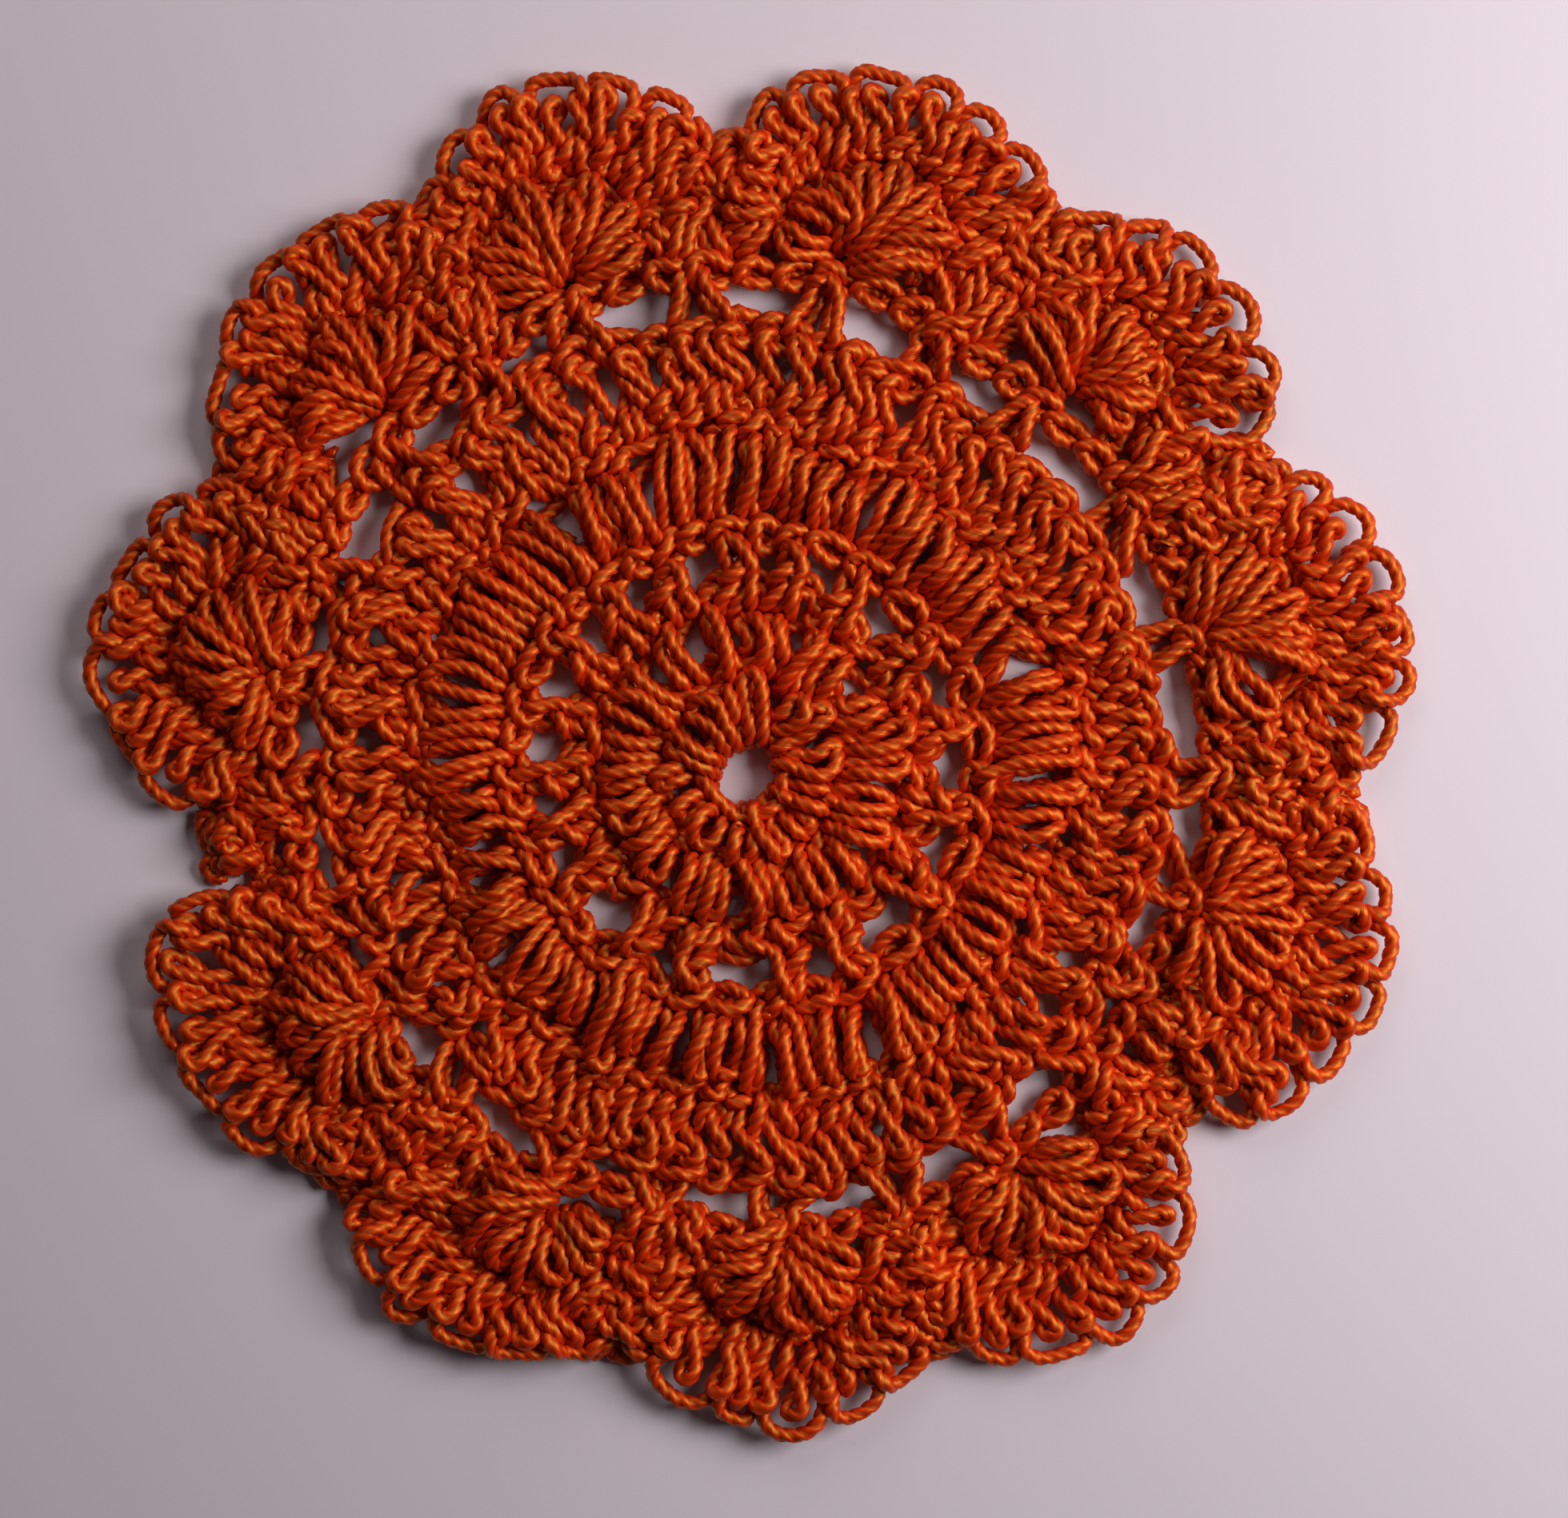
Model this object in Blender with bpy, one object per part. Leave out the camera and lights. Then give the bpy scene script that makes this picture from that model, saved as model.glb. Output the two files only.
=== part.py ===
# Crochet coaster: a round of cotton stitches with eleven shell fans round its rim.
# Sizes in millimetres about the centre ring, turned into metres where shapes are made.
# +X is right and +Y is up as the coaster is seen from above, and it rests on z = 0.

import math

import bmesh
import bpy
import numpy as np

MM = 0.001
RING_X_MM = -0.2
RING_Y_MM = -2.0
BODY_STEPS = 66
FAN_STEPS = 26
FANS_START_MM = 37.0
BODY_EDGE_MM = 46.0
FAN_NOMINAL_MM = 15.0
RIB_MM = 0.22
SCALLOP_MM = 0.30
CUT_SIDES = 10
CUT_DEPTH_MM = 20.0
HOLE_MM = (4.1, 3.3, 20.0)

# Rounds of the body, from the ring outwards: radius, height of the upper face
BODY_ROWS = (
    (1.2, 1.9),
    (3.0, 2.5),
    (5.4, 2.7),
    (7.3, 2.1),
    (9.2, 2.7),
    (12.4, 2.6),
    (14.4, 2.1),
    (16.8, 1.6),
    (19.3, 2.0),
    (21.6, 2.8),
    (24.0, 2.8),
    (25.8, 2.2),
    (28.0, 2.9),
    (30.4, 2.8),
    (32.2, 2.1),
    (35.2, 1.6),
    (38.4, 2.1),
    (42.4, 2.4),
    (45.6, 1.8),
    (46.0, 0.9),
    (45.6, 0.2),
    (44.0, 0.0),
    (1.2, 0.0),
)

# One fan, from its eye outwards: share of the reach, height of the face
FAN_ROWS = (
    (0.00, 1.7),
    (0.16, 2.3),
    (0.36, 2.9),
    (0.54, 2.2),
    (0.70, 2.8),
    (0.84, 2.1),
    (0.97, 1.6),
    (1.00, 0.9),
    (0.96, 0.3),
    (0.55, 0.1),
    (0.00, 0.1),
)
RIB_SHARES = (0.25, 0.75)

# Directions, in degrees from a fan's own axis, of the five reaches below
REACH_AT = (-60, -30, 0, 30, 52)
SIDE_REACH_MM = 12.0
BACK_REACH_MM = 4.6

# Each fan: eye x, eye y, five reaches, lift of the rim
FANS = (
    (-14.7, 39.4, (17.7, 16.4, 15.4, 13.4, 12.8), 0.5),
    (8.5, 41.4, (17.1, 15.5, 15.2, 14.8, 14.0), 0.4),
    (25.9, 31.2, (16.1, 15.4, 15.2, 13.2, 12.8), 0.4),
    (37.2, 10.8, (16.5, 16.0, 15.6, 15.4, 14.0), 0.5),
    (36.5, -10.8, (18.3, 16.3, 16.0, 14.3, 14.3), 0.5),
    (21.6, -32.0, (15.2, 15.0, 16.0, 14.8, 13.7), 0.6),
    (3.2, -37.8, (15.7, 14.8, 14.9, 15.0, 13.8), 0.9),
    (-15.7, -34.6, (16.6, 14.9, 12.8, 12.2, 11.3), 1.4),
    (-30.3, -19.7, (18.3, 16.2, 14.6, 13.1, 12.3), 1.6),
    (-38.4, 8.3, (15.7, 14.7, 14.3, 14.1, 13.0), 1.2),
    (-29.4, 29.4, (16.5, 15.2, 14.0, 13.6, 13.9), 0.8),
)

# Valleys between the fans: direction from the ring in degrees, radius
VALLEYS = (
    (30, 47.9),
    (60, 50.8),
    (92, 50.4),
    (121, 52.0),
    (151, 48.3),
    (184, 42.9),
    (225, 45.4),
    (256, 46.5),
    (288, 47.9),
    (321, 44.4),
    (357, 48.0),
)

# Open spaces of the third round: x, y, length, width, angle in degrees
INNER_GAPS = (
    (4.3, 17.2, 3.3, 1.6, 58),
    (11.5, 13.4, 3.4, 2.4, 169),
    (16.4, 7.4, 4.8, 2.1, 160),
    (17.7, 0.6, 3.2, 1.8, 135),
    (16.0, -5.2, 2.6, 1.8, 73),
    (12.2, -11.8, 3.0, 1.6, 94),
    (6.0, -16.5, 3.4, 1.6, 57),
    (-0.3, -17.6, 3.9, 2.4, 37),
    (-6.1, -15.7, 3.2, 2.4, 18),
    (-12.5, -12.0, 4.2, 2.1, 162),
    (-15.9, -7.5, 2.6, 1.6, 120),
    (-16.8, -2.8, 2.6, 1.6, 100),
    (-19.1, 1.3, 2.6, 1.6, 90),
    (-17.6, 7.5, 2.8, 1.8, 60),
    (-14.7, 14.3, 3.2, 1.9, 50),
    (-10.0, 17.9, 3.2, 1.8, 60),
    (-4.4, 18.4, 2.6, 1.6, 20),
)

# Open loops between the body and the fans: x, y, length, width, angle in degrees
OUTER_GAPS = (
    (-9.1, 37.2, 6.4, 2.4, 3),
    (1.3, 37.8, 6.4, 3.0, 18),
    (10.0, 35.5, 6.6, 4.3, 21),
    (17.7, 31.1, 5.6, 2.3, 171),
    (24.8, 25.2, 7.6, 2.7, 143),
    (31.6, 15.2, 7.4, 2.5, 138),
    (34.2, 6.0, 7.0, 3.2, 121),
    (35.6, -4.9, 8.2, 3.3, 122),
    (23.2, -25.4, 6.1, 2.4, 70),
    (15.9, -31.3, 7.2, 3.2, 55),
    (7.0, -34.6, 3.8, 2.0, 71),
    (-1.0, -34.8, 7.6, 2.3, 10),
    (-10.4, -31.7, 3.2, 1.5, 174),
    (-19.1, -28.5, 6.1, 2.8, 163),
    (-25.6, -22.3, 8.4, 3.1, 155),
    (-32.1, -13.0, 4.8, 2.4, 125),
    (-33.9, -5.8, 2.6, 1.6, 114),
    (-35.8, 2.5, 6.0, 2.4, 141),
    (-34.6, 10.6, 7.0, 2.3, 92),
    (-30.0, 20.2, 6.4, 2.6, 75),
    (-24.4, 28.5, 6.4, 2.2, 69),
    (-17.9, 33.7, 3.2, 1.6, 54),
)

# Open spaces inside and between the fans: x, y, length, width, angle in degrees
FAN_GAPS = (
    (36.6, 17.7, 3.4, 2.0, 171),
    (42.4, -5.6, 3.0, 2.0, 130),
    (22.5, 36.4, 3.4, 1.6, 31),
    (30.9, -42.9, 4.1, 1.7, 56),
    (48.4, -19.6, 4.5, 1.8, 60),
)


def clear_scene():
    for item in list(bpy.data.objects):
        bpy.data.objects.remove(item)


def new_collection(name, hidden):
    made = bpy.data.collections.new(name)
    bpy.context.scene.collection.children.link(made)
    made.hide_render = hidden
    return made


def add_object(name, shape, home):
    mesh = bpy.data.meshes.new(name)
    bmesh.ops.triangulate(shape, faces=shape.faces)
    bmesh.ops.recalc_face_normals(shape, faces=shape.faces)
    shape.to_mesh(mesh)
    shape.free()
    made = bpy.data.objects.new(name, mesh)
    home.objects.link(made)
    return made


def add_cutter(name, shape, home):
    made = add_object(name, shape, home)
    made.hide_render = True
    made.display_type = "WIRE"
    return made


def turned(rows, steps, closed):
    """A line of (radius, height) rows turned once about Z."""
    shape = bmesh.new()
    verts = [shape.verts.new((radius, 0.0, height)) for radius, height in rows]
    ends = verts[1:] + verts[:1] if closed else verts[1:]
    edges = [shape.edges.new(pair) for pair in zip(verts, ends)]
    bmesh.ops.spin(
        shape,
        geom=verts + edges,
        cent=(0, 0, 0),
        axis=(0, 0, 1),
        dvec=(0, 0, 0),
        angle=2 * math.pi,
        steps=steps,
        use_merge=True,
        use_duplicate=False,
    )
    bmesh.ops.remove_doubles(shape, verts=shape.verts, dist=1e-5)
    return shape


def move_to(shape, x, y):
    for vert in shape.verts:
        vert.co.x = (vert.co.x + x + RING_X_MM) * MM
        vert.co.y = (vert.co.y + y + RING_Y_MM) * MM
        vert.co.z *= MM


def body_shape():
    """The rounds inside the fans, with an edge that follows the valleys."""
    shape = turned(BODY_ROWS, BODY_STEPS, True)
    angles = [row[0] for row in VALLEYS]
    radii = [row[1] for row in VALLEYS]
    for vert in shape.verts:
        radius = math.hypot(vert.co.x, vert.co.y)
        if radius > FANS_START_MM:
            direction = math.degrees(math.atan2(vert.co.y, vert.co.x))
            edge = np.interp(direction, angles, radii, period=360)
            share = (radius - FANS_START_MM) / (BODY_EDGE_MM - FANS_START_MM)
            grown = FANS_START_MM + share * (edge - FANS_START_MM)
            vert.co.x *= grown / radius
            vert.co.y *= grown / radius
    move_to(shape, 0, 0)
    return shape


def fan_shape(eye_x, eye_y, reaches, lift):
    """One shell of stitches about its eye, with ribs, a scalloped rim and its lift."""
    shape = turned([(s * FAN_NOMINAL_MM, h) for s, h in FAN_ROWS], FAN_STEPS, False)
    axis = math.atan2(eye_y, eye_x)
    angles = [*REACH_AT, 90, 180, -90]
    lengths = [*reaches, SIDE_REACH_MM, BACK_REACH_MM, SIDE_REACH_MM]
    for vert in shape.verts:
        radius = math.hypot(vert.co.x, vert.co.y)
        turn = math.atan2(vert.co.y, vert.co.x)
        share = radius / FAN_NOMINAL_MM
        side = 1 if round(turn * FAN_STEPS / (2 * math.pi)) % 2 else -1
        reach = np.interp(math.degrees(turn), angles, lengths, period=360)
        if share > RIB_SHARES[1]:
            reach += side * SCALLOP_MM
        elif share > RIB_SHARES[0] and vert.co.z > 1.0:
            vert.co.z += side * RIB_MM
        front = max(0.0, math.cos(turn))
        vert.co.x = share * reach * math.cos(turn + axis)
        vert.co.y = share * reach * math.sin(turn + axis)
        vert.co.z += lift * front * share * share
    move_to(shape, eye_x, eye_y)
    return shape


def gap_shapes(gaps):
    """Upright oval cutters, one for each row of a table of gaps."""
    shape = bmesh.new()
    for x, y, length, width, angle in gaps:
        cut = bmesh.ops.create_cone(
            shape,
            cap_ends=True,
            segments=CUT_SIDES,
            radius1=0.5,
            radius2=0.5,
            depth=CUT_DEPTH_MM,
        )["verts"]
        cosine = math.cos(math.radians(angle))
        sine = math.sin(math.radians(angle))
        for vert in cut:
            along = vert.co.x * length
            across = vert.co.y * width
            vert.co.x = x + along * cosine - across * sine
            vert.co.y = y + along * sine + across * cosine
    move_to(shape, 0, 0)
    return shape


def combine(target, operation, group):
    change = target.modifiers.new(operation.lower(), "BOOLEAN")
    change.operation = operation
    change.solver = "EXACT"
    change.operand_type = "COLLECTION"
    change.collection = group


def cotton_yarn():
    """Orange mercerised cotton yarn."""
    made = bpy.data.materials.new("cotton_yarn")
    made.use_nodes = True
    shader = made.node_tree.nodes["Principled BSDF"]
    shader.inputs["Base Color"].default_value = (0.58, 0.098, 0.006, 1.0)
    shader.inputs["Roughness"].default_value = 0.55
    made.diffuse_color = (0.58, 0.098, 0.006, 1.0)
    return made


def main():
    clear_scene()
    home = new_collection("crochet_coaster", False)
    fans = new_collection("fan_shapes", True)
    cutters = new_collection("gap_cutters", True)
    coaster = add_object("coaster", body_shape(), home)
    for number, (eye_x, eye_y, reaches, lift) in enumerate(FANS, 1):
        shape = fan_shape(eye_x, eye_y, reaches, lift)
        add_cutter(f"fan_{number:02d}", shape, fans)
    add_cutter("cut_centre", gap_shapes([(0, 0, *HOLE_MM)]), cutters)
    add_cutter("cut_inner", gap_shapes(INNER_GAPS), cutters)
    add_cutter("cut_outer", gap_shapes(OUTER_GAPS), cutters)
    add_cutter("cut_fans", gap_shapes(FAN_GAPS), cutters)
    combine(coaster, "UNION", fans)
    combine(coaster, "DIFFERENCE", cutters)
    coaster.data.materials.append(cotton_yarn())


main()
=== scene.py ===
"""Crochet coaster, stitch by stitch: every round is laid as twisted cotton yarn."""

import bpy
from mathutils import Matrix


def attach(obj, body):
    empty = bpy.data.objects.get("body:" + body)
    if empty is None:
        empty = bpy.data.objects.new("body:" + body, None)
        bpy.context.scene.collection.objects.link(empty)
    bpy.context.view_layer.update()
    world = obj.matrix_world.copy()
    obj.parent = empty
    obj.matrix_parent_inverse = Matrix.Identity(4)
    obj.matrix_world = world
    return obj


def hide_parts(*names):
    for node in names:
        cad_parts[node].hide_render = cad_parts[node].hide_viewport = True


bl_info = {
    "name": "Crochet coaster",
    "version": (1, 0, 0),
    "blender": (4, 5, 0),
    "location": "View3D > Sidebar > Crochet",
    "description": "Lays the yarn of a round crochet coaster with shell fans",
    "category": "Add Mesh",
}

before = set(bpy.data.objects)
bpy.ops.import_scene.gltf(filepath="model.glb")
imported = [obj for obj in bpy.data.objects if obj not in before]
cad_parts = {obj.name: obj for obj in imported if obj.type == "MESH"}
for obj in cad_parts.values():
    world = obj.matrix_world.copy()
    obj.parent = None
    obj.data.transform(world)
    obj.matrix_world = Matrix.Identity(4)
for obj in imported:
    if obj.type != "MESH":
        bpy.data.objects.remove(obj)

import math
from typing import NamedTuple

import bmesh
import bpy
import numpy as np
from bpy.props import FloatProperty, FloatVectorProperty, IntProperty, PointerProperty
from mathutils import Vector

MM = 0.001

# The body that the yarn rides on, and the part of model.glb, the flat solid that the yarn
# stands for and hides
BODY = "root"
NODE = "coaster"

# Middle of the rounds in the frame, in mm
RING_X_MM = -0.2
RING_Y_MM = -2.0

# Each round draws its unevenness from a seed of its own, and so does each fan and valley
SEED = 11
FAN_POST_SEED = SEED + 20
FAN_SHORT_SEED = SEED + 40
RIM_SEED = SEED + 60
VALLEY_SEED = SEED + 80
PLY_SEED = SEED + 100

# Rounds of the body: number of stitches, radii in mm at which their legs start and end
CENTRE_RING_MM = 3.4
FIRST_ROUND = (14, CENTRE_RING_MM, 7.6)
SECOND_ROUND = (24, 7.7, 12.9)
OPEN_POSTS_MM = (13.2, 18.4)
OPEN_CHAIN_MM = 18.9
DENSE_INNER = (64, 19.6, 26.0)
DENSE_OUTER = (96, 26.9, 32.2)
EDGE_CHAINS = 66
EDGE_CHAIN_MM = 33.1

# The body is a little wider on one side: radius where that begins, width of the part over
# which it grows, and the mean radius of the body's edge, in mm
STRETCH_FROM_MM = 9.0
STRETCH_OVER_MM = 24.0
BODY_EDGE_MM = 34.0

# What the last stitches of the body and its edge chain keep clear of the open loops, in mm
STITCH_CLEAR_MM = 1.7
CHAIN_CLEAR_MM = 1.1
# The same for the feet of the posts between the open loops and the chain outside them, and
# about how many degrees one of its stitches takes
LOOP_POST_CLEAR_MM = 0.9
LOOP_CHAIN_CLEAR_MM = 1.0
LOOP_CHAIN_DEGREES = 4.6

# Directions of the open spaces of the third round, in degrees
OPEN_SPACES = (
    2, 25, 50, 74, 90, 105, 121, 138, 157, 175, 190, 206, 225, 248, 268, 290, 316, 341,
)

# Open loops between body and fans: direction, radius of their middle, radial width in mm
LOOPS = (
    (9.9, 34.8, 3.2),
    (25.7, 35.1, 2.6),
    (45.5, 35.3, 2.6),
    (60.4, 35.8, 2.2),
    (74.3, 36.9, 4.0),
    (88.1, 37.8, 2.8),
    (103.8, 38.3, 2.2),
    (117.9, 38.0, 1.6),
    (130.7, 37.5, 2.0),
    (146.1, 36.2, 2.4),
    (164.1, 36.0, 2.2),
    (175.8, 35.9, 2.2),
    (190.2, 34.4, 1.6),
    (203.4, 34.6, 2.2),
    (221.1, 33.9, 3.0),
    (236.3, 34.4, 2.6),
    (251.8, 33.6, 1.4),
    (266.0, 35.0, 2.0),
    (281.4, 35.3, 2.0),
    (296.9, 35.1, 3.0),
    (312.5, 34.4, 2.4),
    (326.5, 34.2, 1.2),
    (339.0, 34.6, 1.2),
    (352.2, 35.8, 3.2),
)

# Each fan: eye x, eye y, reach at -60, -30, 0, 30 and 52 degrees, lift of the rim
FANS = (
    (-14.7, 39.4, (17.7, 16.4, 15.4, 13.4, 12.8), 0.5),
    (8.5, 41.4, (17.1, 15.5, 15.2, 14.8, 14.0), 0.4),
    (25.9, 31.2, (16.1, 15.4, 15.2, 13.2, 12.8), 0.4),
    (37.2, 10.8, (16.5, 16.0, 15.6, 15.4, 14.0), 0.5),
    (36.5, -10.8, (18.3, 16.3, 16.0, 14.3, 14.3), 0.5),
    (21.6, -32.0, (15.2, 15.0, 16.0, 14.8, 13.7), 0.6),
    (3.2, -37.8, (15.7, 14.8, 14.9, 15.0, 13.8), 0.9),
    (-15.7, -34.6, (16.6, 14.9, 12.8, 12.2, 11.3), 1.4),
    (-30.3, -19.7, (18.3, 16.2, 14.6, 13.1, 12.3), 1.6),
    (-38.4, 8.3, (15.7, 14.7, 14.3, 14.1, 13.0), 1.2),
    (-29.4, 29.4, (16.5, 15.2, 14.0, 13.6, 13.9), 0.8),
)
REACH_AT = (-60, -30, 0, 30, 52)
SIDE_REACH_MM = 12.0
BACK_REACH_MM = 8.0
NOMINAL_REACH_MM = 15.2
# Its reach tells from this distance of the eye on, and fully this much further out
FAN_CORE_MM = 2.0
FAN_GROWTH_MM = 7.0

# Stitches of a fan of nominal reach: distances in mm from its eye, turns in degrees
FAN_POSTS = 8
FAN_POST_TURNS = (-90, 80)
FAN_POST_MM = (1.2, 7.0)
FAN_SHORT_MM = (7.9, 12.9)
RIM_HALF_TURN = 74
RIM_MM = 14.0
RIM_PITCH_MM = 4.9
RIM_KNOT_MM = (12.0, 14.6)
# An arc of the rim between two knots: share of the way, distance in mm
RIM_ARC = ((0.18, 14.9), (0.50, 15.1), (0.82, 14.9))
# Height of the rim in mm for a lift of one
RIM_LIFT_MM = 0.6

# Valleys between the fans: direction, radius in mm
VALLEYS = (
    (30, 47.9),
    (60, 50.8),
    (92, 50.4),
    (121, 52.0),
    (151, 48.3),
    (188, 43.2),
    (225, 45.4),
    (256, 46.5),
    (288, 47.9),
    (321, 44.4),
    (357, 48.0),
)
# Degrees of a valley that the stitches of its two fans take up, and its narrowest
VALLEY_SIDES = 22.0
VALLEY_LEAST = 3.0
CLUSTER_STITCHES = 3

# Loop of a stitch's top, seen along the row: share of the way, yarns outwards
# before and after the bulge, yarns up
TOP_ROWS = (
    (0.06, -0.10, 0.00, -0.35),
    (0.22, 0.00, 0.50, 0.25),
    (0.50, 0.00, 0.95, 0.55),
    (0.80, 0.00, 0.75, 0.65),
    (1.02, 0.10, 0.00, 0.60),
    (1.15, -0.45, 0.00, 0.20),
    (1.16, -0.35, 0.00, -0.30),
    (1.07, 0.40, 0.00, -0.35),
    (0.88, 0.95, 0.70, 0.00),
    (0.55, 1.05, 0.95, 0.25),
    (0.22, 0.90, 0.50, 0.00),
    (0.04, 0.20, 0.00, -0.45),
)

# One chain stitch, in the same terms
CHAIN_ROWS = (
    (0.02, 0.00, 0.00, -0.20),
    (0.30, 0.55, 0.20, 0.25),
    (0.75, 0.50, 0.15, 0.55),
    (1.08, 0.12, 0.00, 0.35),
    (1.15, -0.30, 0.00, 0.00),
    (0.95, -0.60, -0.20, 0.15),
    (0.45, -0.60, -0.30, 0.10),
    (0.12, -0.15, 0.00, -0.30),
    (0.45, 0.05, 0.00, -0.75),
    (0.92, 0.00, 0.00, -0.65),
)

# Short stitch, two crossed legs under a small loop: share of the way up, yarns to the
# side, yarns up
SHORT_ROWS = (
    (0.00, 0.95, -0.60),
    (0.30, 0.75, -0.10),
    (0.60, 0.35, 0.40),
    (0.84, -0.35, 0.65),
    (1.02, -0.50, 0.75),
    (1.10, 0.10, 0.65),
    (1.00, 0.65, 0.20),
    (0.82, 0.45, -0.25),
    (0.60, -0.30, -0.15),
    (0.30, -0.75, 0.15),
    (0.00, -0.95, -0.45),
)

# Knot on the rim: yarns along the rim, share of the way out, yarns up
RIM_ROWS = (
    (-0.55, 1.00, 0.00),
    (-0.35, 0.65, -0.35),
    (-0.15, 0.10, -0.60),
    (0.25, -0.12, -0.20),
    (0.20, 0.25, 0.50),
    (0.05, 0.70, 0.65),
    (0.50, 1.00, 0.20),
)


# Ways of the yarn

def unit(vector):
    return vector / max(1e-9, float(np.hypot(vector[0], vector[1])))


def polar(radius, degrees):
    angle = math.radians(degrees)
    return np.array((radius * math.cos(angle), radius * math.sin(angle)))


def between(angles):
    """Directions halfway from each one to the next, all the way round."""
    return 0.5 * (angles + np.append(angles[1:], angles[0] + 360))


def run_lengths(points):
    """Length of the way from the first point to each one."""
    gaps = np.linalg.norm(np.diff(points, axis=0), axis=1)
    return np.concatenate(((0.0,), np.cumsum(gaps)))


def post_rows(head, foot, leg, wrap=False):
    """Two legs in front and two runs behind, in the terms of the short stitch.

    The legs end at the head's share of the way up. Foot and leg are their distances from
    the middle, in yarns, below and above. Wrap adds a turn of yarn round both.
    """
    rows = []
    if wrap:
        rows += [
            (0.86, 0.75, -0.20),
            (0.66, 0.75, 0.55),
            (0.52, 0.00, 1.00),
            (0.40, -0.80, 0.55),
            (0.34, -0.85, -0.20),
            (0.22, -0.40, -0.75),
        ]
    else:
        rows += [(0.80, 0.50, -0.75), (0.40, 0.65, -0.85)]
    rows += [
        (0.02, 0.6 * foot, -0.60),
        (-0.10, 0.9 * foot, -0.05),
        (0.02, foot, 0.60),
        (0.35, 0.5 * (foot + leg), 0.85),
        (0.70, leg, 0.85),
        (head - 0.04, 0.7 * leg, 0.60),
        (head + 0.04, 0.00, -0.10),
        (head - 0.04, -0.7 * leg, 0.15),
        (0.70, -leg, 0.30),
        (0.35, -0.5 * (foot + leg), 0.30),
        (0.02, -foot, 0.20),
        (-0.10, -0.9 * foot, -0.15),
        (0.02, -0.6 * foot, -0.60),
        (0.40, -0.65, -0.85),
        (0.80, -0.40, -0.75),
        (0.97, 0.00, -0.55),
    ]
    return rows


# Unevenness of the stitches: spread of a post's bow and lift in yarns and of its length
# as a share; limits of its width, of how far crossed legs change sides, and of a loop's
# bulge, as shares
POST_SPREADS = (0.38, 0.15, 0.05)
POST_WIDTHS = (0.8, 1.2)
CROSSINGS = (1.5, 2.0)
LOOP_BULGES = (0.7, 1.35)
# Share of the way up over which a foot that starts lower rises
DIP_SHARE = 0.4


class Hand:
    """Lays stitches one after another, with the small unevenness of handwork.

    Shake is how far single points of the yarn stray, in mm.
    """

    def __init__(self, s, seed, shake=0.08):
        self.yarn = s.yarn_mm
        self.uneven = s.uneven_mm
        self.middle = s.middle_mm
        self.rng = np.random.default_rng(seed)
        self.shake = shake

    def points(self, places):
        """Places of (x, y, yarns up) as uneven points."""
        made = []
        for x, y, rise in places:
            dx, dy, dz = self.rng.normal(0.0, self.shake, 3)
            made.append((x + dx, y + dy, self.middle + rise * self.yarn + dz))
        return made

    def row_loop(self, rows, before, top, outwards, bulge, sink=0.0):
        """A loop that runs along the row from one stitch's top to the next."""
        along = top - before
        out = unit(np.array((-along[1], along[0])))
        if np.dot(out, outwards) < 0:
            out = -out
        places = []
        for share, over, grow, rise in rows:
            place = before + share * along + (over + bulge * grow) * self.yarn * out
            places.append((*place, rise - sink))
        return self.points(places)

    def post(self, rows, base, top, raised=0.0, crossing=0.0, dip=0.0, crown=0.0):
        """A stitch's legs.

        They end raised by that many yarns, start lower by dip and stand up by crown
        halfway. Crossing is the share of stitches whose legs change sides.
        """
        up = top - base
        side = unit(np.array((up[1], -up[0])))
        bow, lift, stretch = self.rng.normal(0, POST_SPREADS)
        width = self.rng.uniform(*POST_WIDTHS)
        crossed = self.rng.random() < crossing
        change = self.rng.uniform(*CROSSINGS) if crossed else 0.0
        places = []
        for share, over, rise in rows:
            held = min(1.0, max(0.0, share))
            over *= width * (1.0 - change * (1.0 - held))
            over += bow * math.sin(math.pi * held)
            low = dip * max(0.0, 1.0 - held / DIP_SHARE)
            if rise > 0:
                low -= crown * math.sin(math.pi * held)
            place = base + share * (1.0 + stretch) * up + over * self.yarn * side
            places.append((*place, rise + lift + raised * share - low))
        return self.points(places)

    def row(self, rows, bases, tops, start, bulge, sink=0.0, **legs):
        """A row of stitches from bases to tops, worked on from the top called start."""
        made = []
        before = start
        for base, top in zip(bases, tops):
            base = base + self.rng.normal(0, self.uneven, 2)
            top = top + self.rng.normal(0, self.uneven, 2)
            arch = bulge * self.rng.uniform(*LOOP_BULGES)
            made += self.row_loop(TOP_ROWS, before, top, top - base, arch, sink)
            made += self.post(rows, base, top, **legs)
            before = top
        return made

    def chain(self, knots, outwards):
        """Chain stitches from knot to knot."""
        made = []
        for before, after in zip(knots, knots[1:]):
            made += self.row_loop(CHAIN_ROWS, before, after, outwards, 1.0)
        return made

    def angles(self, first, last, count, wobble):
        """Directions at even steps, each off by some degrees."""
        return np.linspace(first, last, count) + self.rng.normal(0, wobble, count)

    def round_angles(self, count, wobble):
        """The same, all the way round."""
        return self.angles(0, 360 - 360 / count, count, wobble)


def loop_edge(degrees, side):
    """Radius of the inner (-1) or outer (1) edge of the open loops at a direction."""
    angles = [row[0] for row in LOOPS]
    edges = [row[1] + side * 0.5 * row[2] for row in LOOPS]
    return float(np.interp(degrees, angles, edges, period=360))


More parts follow.
